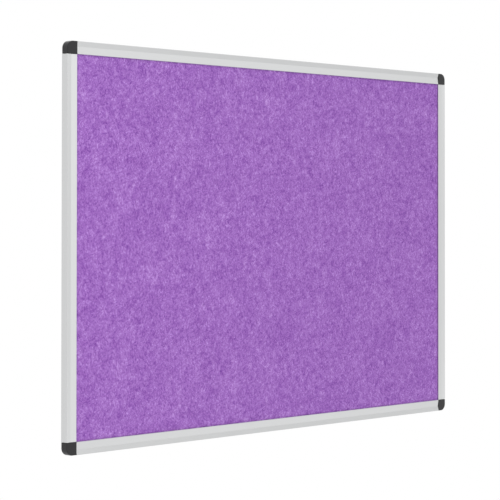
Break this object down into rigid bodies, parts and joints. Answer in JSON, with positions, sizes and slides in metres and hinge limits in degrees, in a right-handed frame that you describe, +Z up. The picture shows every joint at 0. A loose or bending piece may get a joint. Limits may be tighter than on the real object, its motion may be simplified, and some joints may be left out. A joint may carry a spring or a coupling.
{
  "type": "framed felt noticeboard",
  "caption": "Wall-hung pinboard: a felt-faced softboard panel in square-cut aluminium rails, with moulded corner keys and rounded pull-off corner covers over the wall-screw holes.",
  "frame": {"origin": "middle of the board's back, on the wall plane", "axes": "+X to the viewer's right along the long side, +Y back into the wall, +Z up"},
  "size_m": [0.9, 0.0125, 0.6],
  "materials": {
    "felt": "heathered purple felt",
    "softboard": "pressed wood fibre",
    "back_board": "plain grey-brown board",
    "anodised_rail": "satin natural anodised",
    "key_plastic": "moulded black",
    "cover_plastic": "fine satin texture, black",
    "screw_steel": "zinc plated"
  },
  "bodies": {
    "board": {"felt_sheet": "felt", "softboard_core": "softboard", "back_sheet": "back_board", "rail_bottom": "anodised_rail", "rail_left": "anodised_rail", "rail_top": "anodised_rail", "rail_right": "anodised_rail", "corner_key_bottom_left": "key_plastic", "corner_key_top_left": "key_plastic", "corner_key_top_right": "key_plastic", "corner_key_bottom_right": "key_plastic", "bottom_rail_screw_left": "screw_steel", "left_rail_screw_bottom": "screw_steel", "left_rail_screw_top": "screw_steel", "top_rail_screw_left": "screw_steel", "top_rail_screw_right": "screw_steel", "right_rail_screw_top": "screw_steel", "right_rail_screw_bottom": "screw_steel", "bottom_rail_screw_right": "screw_steel"},
    "cover_bottom_left": {"corner_cover_bottom_left": "cover_plastic"},
    "cover_top_left": {"corner_cover_top_left": "cover_plastic"},
    "cover_top_right": {"corner_cover_top_right": "cover_plastic"},
    "cover_bottom_right": {"corner_cover_bottom_right": "cover_plastic"}
  },
  "joints": [
    {"name": "cover_bottom_left_pull", "type": "slide", "parent": "board", "child": "cover_bottom_left", "axis": [0, -1, 0], "range_m": [0, 0.02]},
    {"name": "cover_top_left_pull", "type": "slide", "parent": "board", "child": "cover_top_left", "axis": [0, -1, 0], "range_m": [0, 0.02]},
    {"name": "cover_top_right_pull", "type": "slide", "parent": "board", "child": "cover_top_right", "axis": [0, -1, 0], "range_m": [0, 0.02]},
    {"name": "cover_bottom_right_pull", "type": "slide", "parent": "board", "child": "cover_bottom_right", "axis": [0, -1, 0], "range_m": [0, 0.02]}
  ]
}
